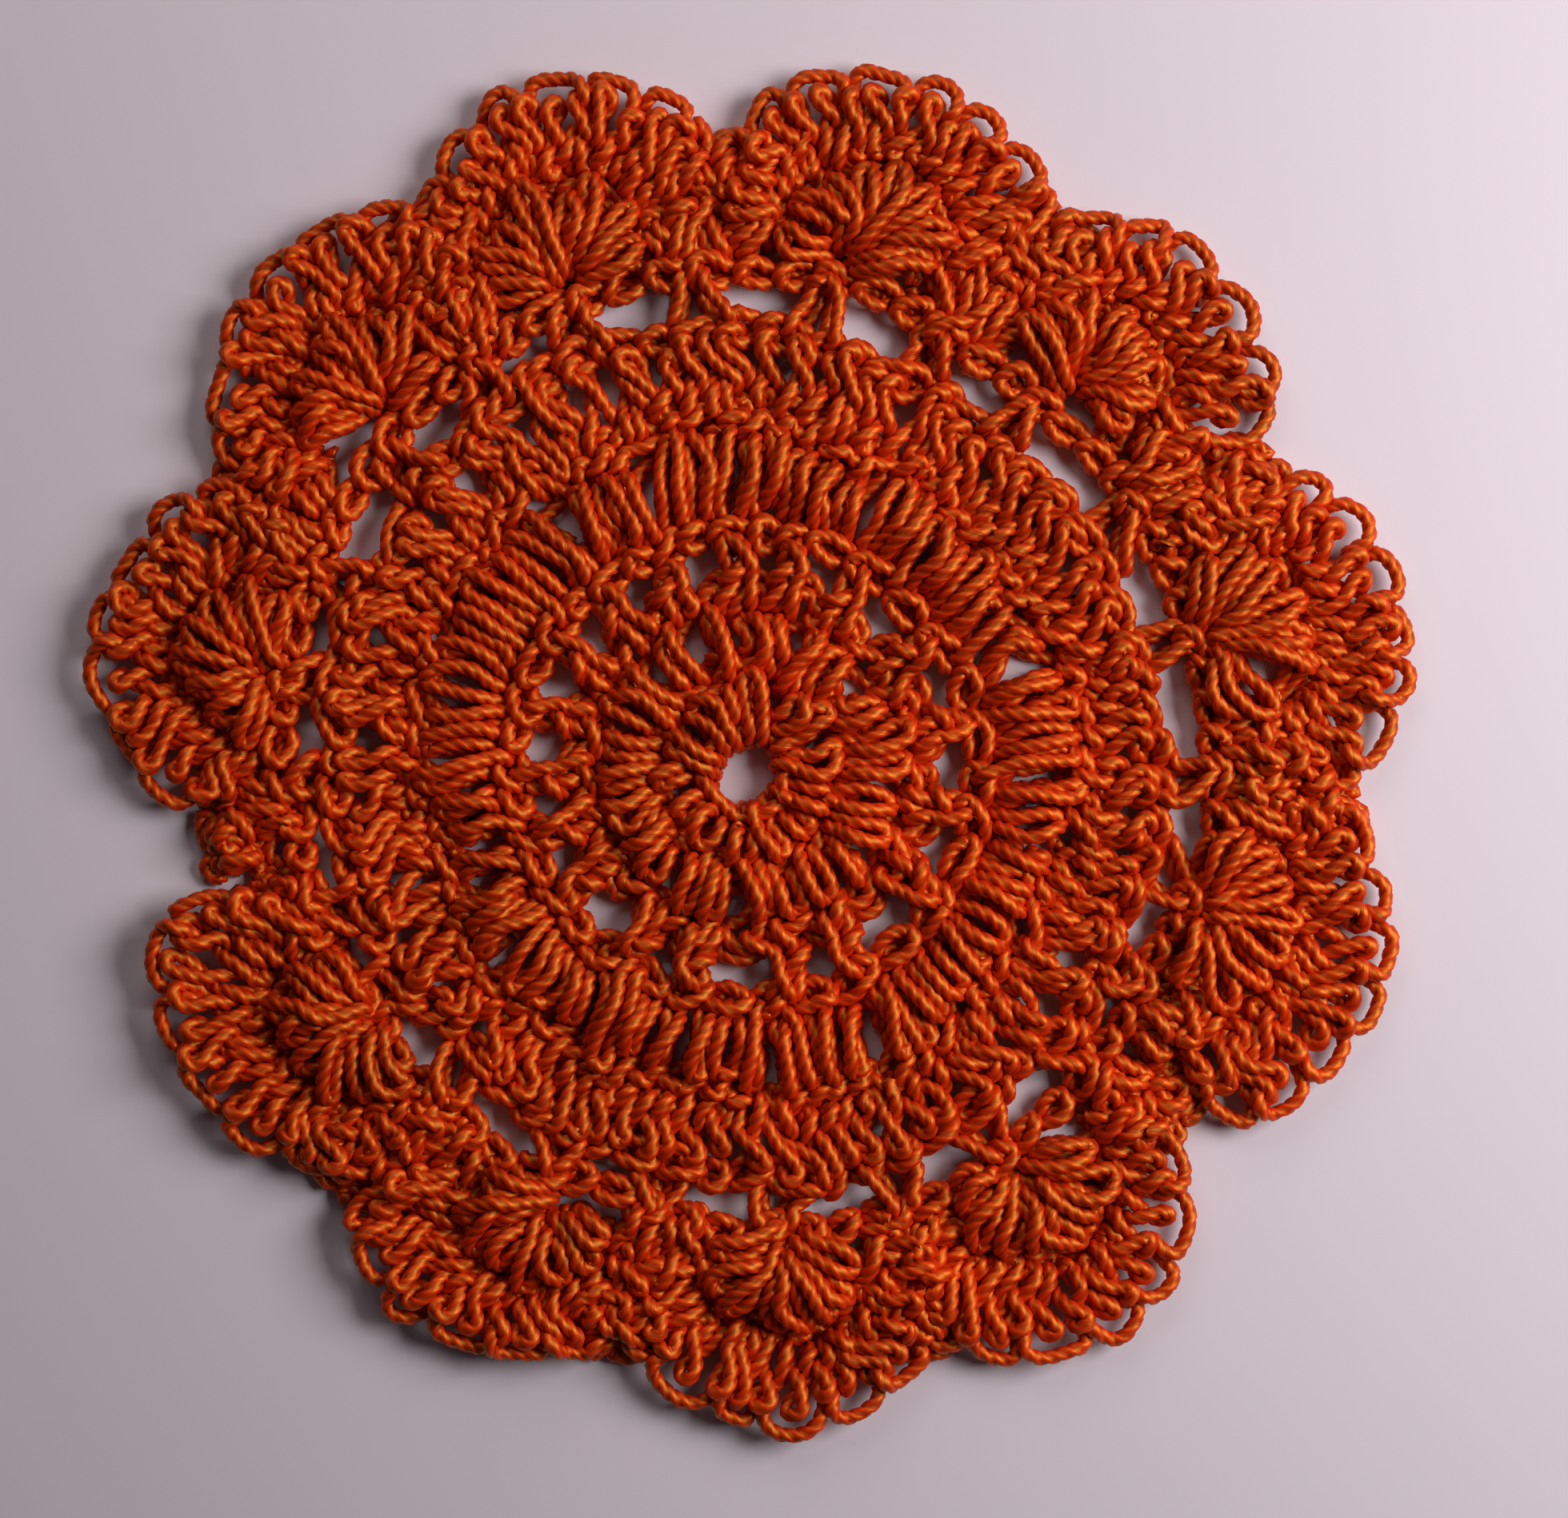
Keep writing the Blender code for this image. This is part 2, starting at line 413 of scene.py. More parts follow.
def stretched(radius, degrees):
    """A point of the dense rounds, which lie a little wider on one side than the other."""
    # The mean edge of the loops over 24 degrees to each side
    edge = np.mean([loop_edge(degrees + k, -1) for k in range(-24, 25, 6)])
    share = min(1.0, max(0.0, (radius - STRETCH_FROM_MM) / STRETCH_OVER_MM))
    # The rounds waver by up to a millimetre
    wave = 0.55 * math.sin(math.radians(5 * degrees + 40))
    wave += 0.35 * math.sin(math.radians(9 * degrees + 14 * radius))
    wider = 1.0 + share * (edge / BODY_EDGE_MM - 1.0)
    return polar(radius * wider + share * wave, degrees)


def inside_loops(radius, clear, degrees):
    """A point of the body, kept clear of the inner edge of the open loops."""
    point = stretched(radius, degrees)
    limit = loop_edge(degrees, -1) - clear
    return point * min(1.0, limit / math.hypot(*point))


def ring_row(hand, rows, bases, base_r, tops, top_r, bulge, sink, crossing=0.55):
    """A full round of stitches from directions on one radius to directions on the next."""
    low = [stretched(base_r, a) for a in bases]
    high = [stretched(top_r, a) for a in tops]
    return hand.row(
        rows, low, high, high[-1], bulge, sink, crossing=crossing, dip=0.4, crown=0.6
    )


def centre_ring(s):
    """Two turns of yarn, the second on the first."""
    hand = Hand(s, SEED, 0.03)
    places = []
    for i in range(50):
        places.append((*polar(CENTRE_RING_MM, 15.0 * i), -0.45 + 0.01 * i))
    return [hand.points(places)]


def centre_rounds(s):
    """The two rounds of stitches next to the ring."""
    hand = Hand(s, SEED + 1)
    count, low, high = FIRST_ROUND
    first = hand.angles(8, 342, count, 1.2)
    rows = post_rows(0.92, 0.40, 0.66)
    inner = ring_row(hand, rows, first, low, first, high, 0.9, 0.7, 0.0)
    count, low, high = SECOND_ROUND
    second = hand.angles(3, 348, count, 0.9)
    rows = post_rows(0.92, 0.48, 0.66)
    outer = ring_row(hand, rows, second - 3, low, second, high, 1.25, 0.5, 0.3)
    return [inner, outer]


def open_round(s):
    """Wrapped posts between the open spaces, joined by chains outside the spaces."""
    hand = Hand(s, SEED + 2)
    spaces = np.array(OPEN_SPACES, float)
    posts = between(spaces)
    low, high = OPEN_POSTS_MM
    rows = post_rows(0.90, 0.75, 0.55, wrap=True)
    made = []
    for i, angle in enumerate(posts):
        top = stretched(high, angle)
        before = stretched(high, posts[i - 1])
        knot = stretched(OPEN_CHAIN_MM, spaces[i])
        made += hand.chain([before, knot, top], top)
        made += hand.post(rows, stretched(low, angle - 3), top)
    return [made]


def dense_inner_round(s):
    """Long stitches, which lean more in some directions than in others."""
    hand = Hand(s, SEED + 3)
    count, low, high = DENSE_INNER
    bases = hand.round_angles(count, 0.7)
    twice, thrice = np.radians(2 * bases + 40), np.radians(3 * bases)
    lean = 1.0 + 1.4 * np.sin(twice) + 0.8 * np.sin(thrice)
    tops = bases + lean + hand.rng.normal(0, 0.9, count)
    hand.uneven *= 1.4
    rows = post_rows(0.94, 0.50, 0.62)
    return [ring_row(hand, rows, bases, low, tops, high, 1.3, 0.5)]


def dense_outer_round(s):
    """Short stitches and the chain that edges the body."""
    hand = Hand(s, SEED + 4, 0.12)
    count, base_r, top_r = DENSE_OUTER
    stitches = []
    for angle in hand.round_angles(count, 0.5):
        low = stretched(base_r + hand.rng.normal(0, 0.4), angle)
        lean = hand.rng.normal(1.0, 1.2)
        away = top_r + hand.rng.normal(0, 0.4)
        high = inside_loops(away, STITCH_CLEAR_MM, angle + lean)
        stitches += hand.post(SHORT_ROWS, low, high, crown=0.3)
    hand = Hand(s, SEED + 6)
    knots = []
    for angle in hand.angles(0, 360, EDGE_CHAINS + 1, 0.8):
        away = EDGE_CHAIN_MM + hand.rng.normal(0, 0.4)
        knots.append(inside_loops(away, CHAIN_CLEAR_MM, angle))
    edge = []
    for before, after in zip(knots, knots[1:]):
        edge += hand.chain([before, after], after)
    return [stitches, edge]


def loop_round(s):
    """Posts between the open loops, joined by chains outside the loops."""
    hand = Hand(s, SEED + 5)
    posts = between(np.array([row[0] for row in LOOPS]))
    rows = post_rows(0.96, 1.70, 0.85)
    made = []
    for i, angle in enumerate(posts):
        start = posts[i - 1] - (0 if i else 360)
        count = max(2, int(round((angle - start) / LOOP_CHAIN_DEGREES)))
        turns = np.linspace(start, angle, count + 1)
        knots = [polar(loop_edge(a, 1) + LOOP_CHAIN_CLEAR_MM, a) for a in turns]
        made += hand.chain(knots, knots[-1])
        foot = loop_edge(angle, -1) - LOOP_POST_CLEAR_MM
        base = polar(foot, angle + hand.rng.normal(0, 1.3))
        made += hand.post(rows, base, knots[-1])
    return [made]


def fan_place(fan, radius, turn):
    """A point of a fan at a distance from its eye and a turn from its axis."""
    eye_x, eye_y, reaches, _ = fan
    angles = [*REACH_AT, 90, 180, -90]
    lengths = [*reaches, SIDE_REACH_MM, BACK_REACH_MM, SIDE_REACH_MM]
    reach = float(np.interp(turn, angles, lengths, period=360))
    share = min(1.0, max(0.0, (radius - FAN_CORE_MM) / FAN_GROWTH_MM))
    grown = radius * (1.0 + share * (reach / NOMINAL_REACH_MM - 1.0))
    axis = math.degrees(math.atan2(eye_y, eye_x))
    return np.array((eye_x, eye_y)) + polar(grown, axis + turn)


def lifted(points, fan):
    """The rim of a fan stands a little off the table."""
    eye_x, eye_y, _, lift = fan
    made = []
    for x, y, z in points:
        away = math.hypot(x - eye_x, y - eye_y) / NOMINAL_REACH_MM
        made.append((x, y, z + RIM_LIFT_MM * lift * away * away))
    return made


def fan_posts(s):
    """Posts that spread from the eye of each fan."""
    rows = post_rows(1.00, 0.26, 0.64)
    inner, outer = FAN_POST_MM
    made = []
    for number, fan in enumerate(FANS):
        hand = Hand(s, FAN_POST_SEED + number)
        turns = hand.angles(*FAN_POST_TURNS, FAN_POSTS, 2.4)
        low = [fan_place(fan, inner, t) for t in turns]
        high = [fan_place(fan, outer, t) for t in turns]
        start = fan_place(fan, outer, 1.5 * turns[0] - 0.5 * turns[1])
        points = hand.row(rows, low, high, start, 0.2, 1.3, raised=0.5, crown=0.7)
        made.append(lifted(points, fan))
    return made


def rim_turns(fan, number):
    """Turns of the knots on a fan's rim, at even steps along it."""
    rng = np.random.default_rng(RIM_SEED + number)
    fine = np.arange(-RIM_HALF_TURN, RIM_HALF_TURN + 1, 2.0)
    run = run_lengths(np.array([fan_place(fan, RIM_MM, t) for t in fine]))
    count = int(round(run[-1] / RIM_PITCH_MM)) + 1
    wanted = np.linspace(0, run[-1], count) + rng.normal(0, 0.3, count)
    return np.interp(wanted, run, fine)


def fan_short_stitches(s):
    """Short stitches round the posts of each fan, two inside each arc of the rim."""
    base_r, top_r = FAN_SHORT_MM
    made = []
    for number, fan in enumerate(FANS):
        hand = Hand(s, FAN_SHORT_SEED + number, 0.12)
        # The fans on the left lie more closely
        close = top_r + 0.3 * min(1.0, max(0.0, -fan[0] / 25.0))
        knots = rim_turns(fan, number)
        places = np.arange(-0.5, len(knots), 0.5)
        turns = np.interp(places, np.arange(len(knots)), knots)
        turns[0] = 2 * turns[1] - turns[2]
        turns[-1] = 2 * turns[-2] - turns[-3]
        points = []
        for turn in turns:
            low = fan_place(fan, base_r + hand.rng.normal(0, 0.3), turn)
            high = fan_place(fan, close + hand.rng.normal(0, 0.2), turn)
            points += hand.post(SHORT_ROWS, low, high, crown=0.3)
        made.append(lifted(points, fan))
    return made


def fan_rims(s):
    """Knots on the rim of each fan, with an open arc of yarn from each to the next."""
    made = []
    for number, fan in enumerate(FANS):
        hand = Hand(s, RIM_SEED + number, 0.04)
        turns = rim_turns(fan, number)
        places = []
        for i, turn in enumerate(turns):
            inner, outer = (fan_place(fan, radius, turn) for radius in RIM_KNOT_MM)
            up = outer - inner
            side = unit(np.array((-up[1], up[0])))
            for over, share, rise in RIM_ROWS:
                place = inner + share * up + over * s.yarn_mm * side
                places.append((*place, rise))
            if i + 1 < len(turns):
                gap = turns[i + 1] - turn
                for share, radius in RIM_ARC:
                    place = fan_place(fan, radius, turn + share * gap)
                    places.append((*place, 0.0))
        made.append(lifted(hand.points(places), fan))
    return made


def valley_stitches(s):
    """Small clusters of stitches that hold two neighbouring fans together."""
    made = []
    eyes = sorted(math.degrees(math.atan2(f[1], f[0])) % 360 for f in FANS)
    rows = post_rows(1.00, 0.45, 0.55)
    for number, (direction, radius) in enumerate(VALLEYS):
        hand = Hand(s, VALLEY_SEED + number)
        past = min((e - direction) % 360 for e in eyes)
        short = min((direction - e) % 360 for e in eyes)
        middle = direction + 0.5 * (past - short)
        width = max(VALLEY_LEAST, past + short - VALLEY_SIDES)
        inner = loop_edge(direction, 1) + LOOP_CHAIN_CLEAR_MM
        deep = radius - inner
        # Two clusters side by side on the loops' chain, and one more on both of them
        clusters = (
            (inner, middle - 0.26 * width, 0.55 * deep, 58),
            (inner, middle + 0.26 * width, 0.55 * deep, 58),
            (inner + 0.55 * deep, direction, 0.44 * deep, 90),
        )
        points = []
        for base_r, at, length, spread in clusters:
            foot = polar(base_r, at)
            turns = hand.angles(-0.5 * spread, 0.5 * spread, CLUSTER_STITCHES, 4.0)
            low = [foot + polar(0.9, at + 1.2 * t) for t in turns]
            high = [
                foot + polar(length * hand.rng.uniform(0.85, 1.12), at + t) for t in turns
            ]
            start = foot + polar(length, at + turns[0] - 18)
            points += hand.row(
                rows, low, high, start, 0.4, 1.2, raised=-0.4, crossing=0.5, dip=0.3
            )
        made.append(points)
    return made


# The pieces by name, with what works out their yarn, in the order of their laying
ROUNDS = (
    ("centre_ring", centre_ring),
    ("centre_rounds", centre_rounds),
    ("open_round", open_round),
    ("dense_inner_round", dense_inner_round),
    ("dense_outer_round", dense_outer_round),
    ("loop_round", loop_round),
    ("valley_stitches", valley_stitches),
    ("fan_posts", fan_posts),
    ("fan_short_stitches", fan_short_stitches),
    ("fan_rims", fan_rims),
)


# Settling of the yarn

# Points of the smooth curve for each given one
SAMPLES_PER_POINT = 8

# A cell of the grid and half of the cells round it, so that each pair is found once
NEAR_CELLS = (
    (0, 0, 0), (1, 0, 0), (-1, 1, 0), (0, 1, 0), (1, 1, 0),
    (-1, -1, 1), (0, -1, 1), (1, -1, 1), (-1, 0, 1), (0, 0, 1), (1, 0, 1),
    (-1, 1, 1), (0, 1, 1), (1, 1, 1),
)

# Wander of the whole fabric: length of its waves in mm, share of the unevenness; and its
# share along x, y and z
DRIFT_WAVES = ((19.0, 0.9), (10.0, 0.9), (5.5, 0.8))
DRIFT_SHARES = (1.0, 1.0, 0.5)

# In each round of settling a point goes this share of the way to the middle of its
# neighbours and this share back to its first place, and many touches count for less
SMOOTHING = 0.25
HOLD = 0.06
CROWDING = 0.6
# In yarns: lowest height of the yarn's middle, and the length of yarn that is too near to
# push itself away
LOWEST = 0.54
OWN_LENGTH = 1.5


def smooth_path(points, step):
    """Evenly spaced points on a smooth curve through the given ones."""
    p = np.array(points, float)
    p = np.vstack((2 * p[0] - p[1], p, 2 * p[-1] - p[-2]))
    t = np.linspace(0, 1, SAMPLES_PER_POINT, endpoint=False)[:, None]
    pieces = []
    for i in range(1, len(p) - 2):
        a, b, c, d = p[i - 1 : i + 3]
        pieces.append(
            0.5 * (2 * b + (c - a) * t + (2 * a - 5 * b + 4 * c - d) * t**2
                   + (3 * b - a - 3 * c + d) * t**3)
        )
    dense = np.vstack((*pieces, p[-2][None]))
    length = run_lengths(dense)
    count = max(3, int(round(length[-1] / step)) + 1)
    where = np.linspace(0, length[-1], count)
    return np.column_stack([np.interp(where, length, dense[:, k]) for k in range(3)])


def pairs_within(points, reach):
    """Index pairs of points closer than reach, found through a grid of cells."""
    cell = np.floor(points / reach).astype(np.int64)
    cell -= cell.min(axis=0) - 1
    size = cell.max(axis=0) + 2
    key = (cell[:, 0] * size[1] + cell[:, 1]) * size[2] + cell[:, 2]
    order = np.argsort(key, kind="stable")
    ranked = key[order]
    found_a, found_b = [], []
    for dx, dy, dz in NEAR_CELLS:
        other = ranked + (dx * size[1] + dy) * size[2] + dz
        low = np.searchsorted(ranked, other, "left")
        high = np.searchsorted(ranked, other, "right")
        count = high - low
        a = np.repeat(np.arange(len(ranked)), count)
        starts = np.repeat(low - np.concatenate(((0,), np.cumsum(count)[:-1])), count)
        b = starts + np.arange(len(a))
        if (dx, dy, dz) == (0, 0, 0):
            keep = b > a
            a, b = a[keep], b[keep]
        found_a.append(order[a])
        found_b.append(order[b])
    a, b = np.concatenate(found_a), np.concatenate(found_b)
    near = np.linalg.norm(points[a] - points[b], axis=1) < reach
    return a[near], b[near]


def drift(points, s):
    """Slow wander of the whole fabric, as handwork keeps it when it lies flat."""
    rng = np.random.default_rng(SEED)
    moved = points.copy()
    for wave, size in DRIFT_WAVES:
        for axis, share in enumerate(DRIFT_SHARES):
            turn, start_a, start_b = rng.uniform(0, 2 * math.pi, 3)
            a = (points[:, 0] * math.cos(turn) + points[:, 1] * math.sin(turn)) / wave
            b = (points[:, 1] * math.cos(turn) - points[:, 0] * math.sin(turn)) / wave
            wander = np.sin(2 * math.pi * a + start_a) * np.sin(2 * math.pi * b + start_b)
            moved[:, axis] += s.uneven_mm * size * share * wander
    return moved


def settle(paths, s):
    """Pushes crossing yarns apart, as yarn under light tension lies."""
    sizes = [len(p) for p in paths]
    points = drift(np.vstack(paths), s)
    home = points.copy()
    strand = np.repeat(np.arange(len(paths)), sizes)
    place = np.concatenate([np.arange(n) for n in sizes])
    inner = np.ones(len(points), bool)
    ends = np.cumsum(sizes)
    inner[ends - 1] = False
    inner[np.concatenate(((0,), ends[:-1]))] = False
    index = np.nonzero(inner)[0]
    reach = s.packing * s.yarn_mm
    skip = int(math.ceil(OWN_LENGTH * s.yarn_mm / s.step_mm))
    for _ in range(s.rounds):
        middle = 0.5 * (points[index - 1] + points[index + 1])
        points[index] += SMOOTHING * (middle - points[index])
        points += HOLD * (home - points)
        a, b = pairs_within(points, reach)
        apart = (strand[a] != strand[b]) | (np.abs(place[a] - place[b]) > skip)
        a, b = a[apart], b[apart]
        gap = points[a] - points[b]
        distance = np.linalg.norm(gap, axis=1) + 1e-6
        push = gap * (0.5 * (reach - distance) / distance)[:, None]
        move = np.zeros_like(points)
        for k in range(3):
            move[:, k] = np.bincount(a, push[:, k], len(points))
            move[:, k] -= np.bincount(b, push[:, k], len(points))
        touches = np.bincount(np.concatenate((a, b)), minlength=len(points))
        points += move / np.maximum(1.0, CROWDING * touches)[:, None]
        points[:, 2] = np.maximum(points[:, 2], LOWEST * s.yarn_mm)
    return np.split(points, ends[:-1])


# The last rounds worked out, by the sizes that they were laid with
LAID = {}


def laid_rounds(s):
    """Every round's yarn, settled against all the others, worked out once for its sizes."""
    if s not in LAID:
        runs = [(name, run) for name, make in ROUNDS for run in make(s)]
        paths = settle([smooth_path(run, s.step_mm) for _, run in runs], s)
        laid = {name: [] for name, _ in ROUNDS}
        for (name, _), path in zip(runs, paths):
            laid[name].append(path)
        LAID.clear()
        LAID[s] = laid
    return LAID[s]


# Shapes

# One ply's share of the yarn's section: degrees from the groove, share of the radius
PLY_SECTION = ((0, 0.74), (37, 1.02), (83, 1.02))
PLIES = 3
# The yarn is a little thicker and thinner by this share, about every 19 mm
SWELL = 0.04
SWELL_RUN_MM = 3.1
# Distance over which the ends of a yarn are joined to its wall
CAP_GAP_M = 1e-7


def ply_section(s):
    """Cross-section of three plies laid together, as a guide curve."""
    data = bpy.data.curves.new("ply_section", "CURVE")
    data.dimensions = "2D"
    line = data.splines.new("POLY")
    line.points.add(PLIES * len(PLY_SECTION) - 1)
    for i, point in enumerate(line.points):
        ply, part = divmod(i, len(PLY_SECTION))
        degrees, share = PLY_SECTION[part]
        angle = -math.radians(ply * 360 / PLIES + degrees)
        radius = 0.5 * s.yarn_mm * MM * share
        point.co = (radius * math.cos(angle), radius * math.sin(angle), 0, 1)
    line.use_cyclic_u = True
    made = bpy.data.objects.new("ply_section", data)
    bpy.context.scene.collection.objects.link(made)
    return made


def yarn_curve(name, paths, s, rng):
    """Curve with one line for each run of yarn, and the mean length of the runs in mm."""
    data = bpy.data.curves.new(name, "CURVE")
    data.dimensions = "3D"
    data.twist_mode = "MINIMUM"
    data.bevel_mode = "OBJECT"
    data.use_fill_caps = True
    shift = np.array((RING_X_MM, RING_Y_MM, 0.0))
    lengths = []
    for path in paths:
        spline = data.splines.new("POLY")
        spline.points.add(len(path) - 1)
        co = np.ones((len(path), 4))
        co[:, :3] = (path + shift) * MM
        spline.points.foreach_set("co", co.ravel())
        run = run_lengths(path)
        lengths.append(run[-1])
        tilt = rng.uniform(0, 2 * math.pi) + 2 * math.pi * run / s.twist_mm
        spline.points.foreach_set("tilt", tilt)
        swell = 1.0 + SWELL * np.sin(run / SWELL_RUN_MM + rng.uniform(0, 2 * math.pi))
        spline.points.foreach_set("radius", swell)
    return data, float(np.mean(lengths))


def yarn_piece(name, paths, s, seed):
    """Mesh of one group of yarns, plied with a right-handed twist."""
    section = ply_section(s)
    data, length = yarn_curve(name, paths, s, np.random.default_rng(seed))
    data.bevel_object = section
    lay = bpy.data.objects.new(name + "_lay", data)
    bpy.context.scene.collection.objects.link(lay)
    graph = bpy.context.evaluated_depsgraph_get()
    mesh = bpy.data.meshes.new_from_object(lay.evaluated_get(graph))
    bpy.data.objects.remove(lay)
    bpy.data.objects.remove(section)
    mesh.name = name
    mesh.materials.clear()
    bm = bmesh.new()
    bm.from_mesh(mesh)
    bmesh.ops.remove_doubles(bm, verts=bm.verts, dist=CAP_GAP_M)
    bmesh.ops.recalc_face_normals(bm, faces=bm.faces)
    for face in bm.faces:
        face.smooth = True
    # The yarn's map runs along it in mm and once round it
    run = bm.loops.layers.uv.active
    for face in bm.faces:
        for loop in face.loops:
            loop[run].uv.x *= length
    bm.to_mesh(mesh)
    bm.free()
    mesh.uv_layers[0].name = YARN_MAP
    made = bpy.data.objects.new(name, mesh)
    bpy.context.scene.collection.objects.link(made)
    return made


def lay_pieces(context, *names):
    """Lays the named rounds as pieces that ride on the body and replace the flat solid."""
    s = sizes_in_mm(context.scene)
    cotton = mercerised_cotton(context.scene.crochet_yarn)
    order = [name for name, _ in ROUNDS]
    for name in names:
        if name in bpy.data.objects:
            raise RuntimeError(name + " is already laid; delete it before laying it again")
        paths = laid_rounds(s)[name]
        if not paths:
            raise RuntimeError(name + " has no yarn")
        piece = yarn_piece(name, paths, s, PLY_SEED + order.index(name))
        piece.data.materials.append(cotton)
        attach(piece, BODY)
        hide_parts(NODE)


# Materials

YARN_MAP = "yarn_run"
COTTON = "mercerised_cotton_yarn"

# Fibres are about 0.02 mm thick, too fine to show; they are drawn as streaks of 0.13 mm
FIBRE_STREAKS_ROUND = 30.0
FIBRE_STREAKS_PER_MM = 0.45
# The dye took a little unevenly, over about 8 mm
DYE_PATCHES_PER_M = 130.0
FIBRE_RELIEF_M = 0.00008
# Weights of the fibres and of the crests in the yarn's tone, beside the dye, and the tones
# that get the groove's painted shade and the crest's colour
FIBRE_WEIGHT = 0.6
CREST_WEIGHT = 0.7
GROOVE_SHADE_TONE = 0.6
CREST_TONE = 1.65
# Smoother than plain cotton, which has about 0.8
COTTON_ROUGHNESS = 0.45
# Cellulose has about 1.55; more gives the strong sheen of the mercerised plies
COTTON_IOR = 1.8
SHEEN_COLOUR = "#FFC04C"

BOARD_ROUGHNESS = 0.8


def linear(hex_colour):
    """Linear colour of an sRGB hex value."""
    channels = [int(hex_colour[i : i + 2], 16) / 255 for i in (1, 3, 5)]
    return tuple(
        c / 12.92 if c <= 0.04045 else ((c + 0.055) / 1.055) ** 2.4 for c in channels
    ) + (1.0,)


def add_node(tree, kind, settings=(), links=()):
    """Adds a node, sets its properties and inputs, and links its inputs."""
    node = tree.nodes.new(kind)
    for key, value in dict(settings).items():
        if isinstance(key, int) or key in node.inputs:
            node.inputs[key].default_value = value
        else:
            setattr(node, key, value)
    for key, source in dict(links).items():
        tree.links.new(source, node.inputs[key])
    return node


def mercerised_cotton(yarn):
    """Three-ply cotton, mercerised: steeped under tension, so its fibres are smooth.

    That gives the eye a clear gloss for cotton, broken into streaks along the fibres, and
    warm orange on the crest of each ply; the deep red-brown where two plies meet is painted
    shade.
    """
    made = bpy.data.materials.get(COTTON)
    if made is None:
        made = bpy.data.materials.new(COTTON)
        made.use_nodes = True
        weave_cotton_nodes(made.node_tree)
    ramp = made.node_tree.nodes["Ply colour and groove shade"].color_ramp
    # The first colour of the ramp is painted shade, deep red-brown where two plies meet
    ramp.elements[0].color = yarn.groove_shade_colour
    ramp.elements[1].color = yarn.colour
    return made


def weave_cotton_nodes(tree):
    """Streaks of fibre along the yarn, patches of dye, and painted shade in the grooves
    between the plies.
    """
    shader = tree.nodes["Principled BSDF"]
    along = add_node(tree, "ShaderNodeUVMap", {"uv_map": YARN_MAP})
    streaks = add_node(
        tree,
        "ShaderNodeMapping",
        {"Scale": (FIBRE_STREAKS_PER_MM, FIBRE_STREAKS_ROUND, 1.0)},
        {"Vector": along.outputs[0]},
    )
    fibres = add_node(
        tree,
        "ShaderNodeTexNoise",
        {"Scale": 1.0, "Detail": 3.0, "Roughness": 0.6},
        {"Vector": streaks.outputs[0]},
    )
    where = add_node(tree, "ShaderNodeTexCoord")
    dye = add_node(
        tree,
        "ShaderNodeTexNoise",
        {"Scale": DYE_PATCHES_PER_M, "Detail": 2.0},
        {"Vector": where.outputs["Object"]},
    )
    mixed = add_node(
        tree,
        "ShaderNodeMath",
        {"operation": "MULTIPLY_ADD", 1: FIBRE_WEIGHT},
        {0: fibres.outputs["Fac"], 2: dye.outputs["Fac"]},
    )
    # Nothing in the grooves between the plies, one on their crests; low values give the
    # grooves painted shade
    split = add_node(tree, "ShaderNodeSeparateXYZ", {}, {0: along.outputs[0]})
    turn = add_node(
        tree,
        "ShaderNodeMath",
        {"operation": "MULTIPLY", 1: PLIES * math.pi},
        {0: split.outputs["Y"]},
    )
    lobe = add_node(tree, "ShaderNodeMath", {"operation": "SINE"}, {0: turn.outputs[0]})
    crest = add_node(
        tree, "ShaderNodeMath", {"operation": "ABSOLUTE"}, {0: lobe.outputs[0]}
    )
    tone = add_node(
        tree,
        "ShaderNodeMath",
        {"operation": "MULTIPLY_ADD", 1: CREST_WEIGHT},
        {0: crest.outputs[0], 2: mixed.outputs[0]},
    )
    span = add_node(
        tree,
        "ShaderNodeMapRange",
        {"From Min": GROOVE_SHADE_TONE, "From Max": CREST_TONE},
        {"Value": tone.outputs[0]},
    )
    # Ramp from the painted shade of the grooves to the yarn's colour on the crests
    ramp = add_node(
        tree, "ShaderNodeValToRGB", {"name": "Ply colour and groove shade"}, {"Fac": span.outputs[0]}
    )
    bump = add_node(
        tree,
        "ShaderNodeBump",
        {"Strength": 0.5, "Distance": FIBRE_RELIEF_M},
        {"Height": fibres.outputs["Fac"]},
    )
    tree.links.new(ramp.outputs["Color"], shader.inputs["Base Color"])
    tree.links.new(bump.outputs["Normal"], shader.inputs["Normal"])
    shader.inputs["Roughness"].default_value = COTTON_ROUGHNESS
    shader.inputs["IOR"].default_value = COTTON_IOR
    shader.inputs["Specular IOR Level"].default_value = 1.0
    shader.inputs["Specular Tint"].default_value = linear(SHEEN_COLOUR)


def painted_board(colour):
    """Smooth board with matt emulsion, rolled on: an even pale ground with no gloss."""
    made = bpy.data.materials.new("matt_painted_board")
    made.use_nodes = True
    shader = made.node_tree.nodes["Principled BSDF"]
    shader.inputs["Base Color"].default_value = colour
    shader.inputs["Roughness"].default_value = BOARD_ROUGHNESS
    return made


# Stage

FLOOR_HALF_M = 0.6
# Width of table that the photograph takes in, and what it looks at, in the frame
VIEW_WIDTH_M = 0.1254
VIEW_X_M = 0.00268
VIEW_Y_M = -0.00098
VIEW_Z_M = 0.0015
SENSOR_MM = 36.0
CLIP_START_M = 0.01
# Soft lights: place and width in m, colour
KEY_LIGHT = ((0.215, 0.045, 0.18), 0.16, "#FFFBFA")
FILL_LIGHT = ((-0.05, 0.25, 0.2), 0.2, "#FFF4F0")
SKY_COLOUR = "#F4EEFA"


def add_floor(stage):
    """Plain floor at the height of the table."""
    bm = bmesh.new()
    bmesh.ops.create_grid(bm, x_segments=1, y_segments=1, size=FLOOR_HALF_M)
    mesh = bpy.data.meshes.new("pale_floor")
    bm.to_mesh(mesh)
    bm.free()
    mesh.materials.append(painted_board(stage.floor_colour))
    made = bpy.data.objects.new("pale_floor", mesh)
    bpy.context.scene.collection.objects.link(made)


